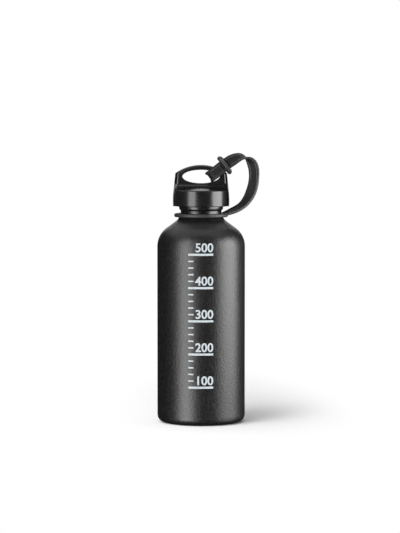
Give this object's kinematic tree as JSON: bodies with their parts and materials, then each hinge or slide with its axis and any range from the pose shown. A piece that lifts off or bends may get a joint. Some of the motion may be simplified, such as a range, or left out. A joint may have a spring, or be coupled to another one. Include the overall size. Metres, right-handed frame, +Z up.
{
  "type": "camping fuel bottle",
  "caption": "Matte black aluminium fuel bottle with a glossy push-and-turn screw cap, tethered by a rubber strap that runs from a ring on the neck through the fin on the cap.",
  "frame": {"origin": "middle of the foot, on the surface that the bottle stands on", "axes": "+Z up along the bottle's axis, +X towards the side where the strap leaves the neck ring, +Y through the cap's fin from front to back"},
  "size_m": [0.0823, 0.071, 0.2178],
  "materials": {
    "coated_aluminium": "matte black powder coat with a fine grain outside, bare metal inside",
    "cap_plastic": "glossy black moulding",
    "plug_plastic": "satin black moulding",
    "seal_rubber": "matte",
    "spring_steel": "drawn wire",
    "strap_rubber": "semi-matte",
    "keeper_rubber": "semi-matte"
  },
  "bodies": {
    "bottle": {"bottle_shell": "coated_aluminium"},
    "tether": {"neck_ring": "strap_rubber", "tether_strap": "strap_rubber"},
    "closure": {"inner_cap": "plug_plastic", "seal_ring": "seal_rubber", "return_spring": "spring_steel", "strap_keeper": "keeper_rubber"},
    "cap": {"outer_cap": "cap_plastic"}
  },
  "joints": [
    {"name": "cap_turn", "type": "hinge", "parent": "bottle", "child": "tether", "pos_m": [0, 0, 0.1678], "axis": [0, 0, 1], "range_deg": [0, 1530]},
    {"name": "cap_rise", "type": "slide", "parent": "tether", "child": "closure", "axis": [0, 0, 1], "range_m": [0, 0.01275], "deforming": ["tether_strap"]},
    {"name": "cap_press", "type": "slide", "parent": "closure", "child": "cap", "axis": [0, 0, 1], "range_m": [-0.0016, 0], "stiffness_N_per_m": 1500, "springref_m": 0.004, "deforming": ["return_spring"]}
  ],
  "couplings": [
    {"joint": "cap_rise", "follows": "cap_turn", "m_per_rad": 0.00047746}
  ]
}
